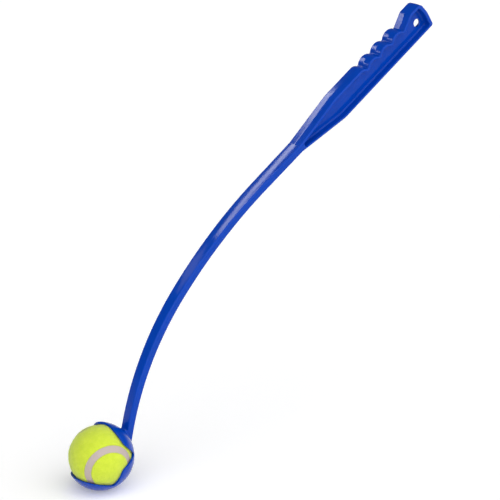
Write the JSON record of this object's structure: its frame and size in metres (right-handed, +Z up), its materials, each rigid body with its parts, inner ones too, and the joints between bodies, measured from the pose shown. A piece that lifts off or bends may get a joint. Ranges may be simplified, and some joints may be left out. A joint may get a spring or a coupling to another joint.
{
  "type": "dog ball thrower",
  "caption": "Moulded dog ball thrower: H-section handle with finger bumps and hanging hole, curved tapering shaft, and a springy open cup that holds a felt tennis ball.",
  "frame": {"origin": "middle of the hanging hole in the handle's web", "axes": "stick in the XZ plane, leaning as it is held ready to throw: +Z up, +X towards the handle's end, fingers and mouth of the cup on the -X side, +Y along the hanging hole"},
  "size_m": [0.4881, 0.0692, 0.4445],
  "materials": {
    "moulding": "glossy moulded polypropylene",
    "felt": "brushed tennis felt",
    "seam": "matte",
    "core": "matte"
  },
  "bodies": {
    "thrower": {"handle": "moulding", "shaft": "moulding", "ball_cup": "moulding"},
    "ball": {"core_half_a": "core", "core_half_b": "core", "felt_panel_a": "felt", "felt_panel_b": "felt", "felt_seam": "seam"}
  },
  "joints": [
    {"name": "ball_release", "type": "slide", "parent": "thrower", "child": "ball", "axis": [-0.809, 0, 0.5878], "range_m": [0, 0.08], "deforming": ["ball_cup"]}
  ]
}
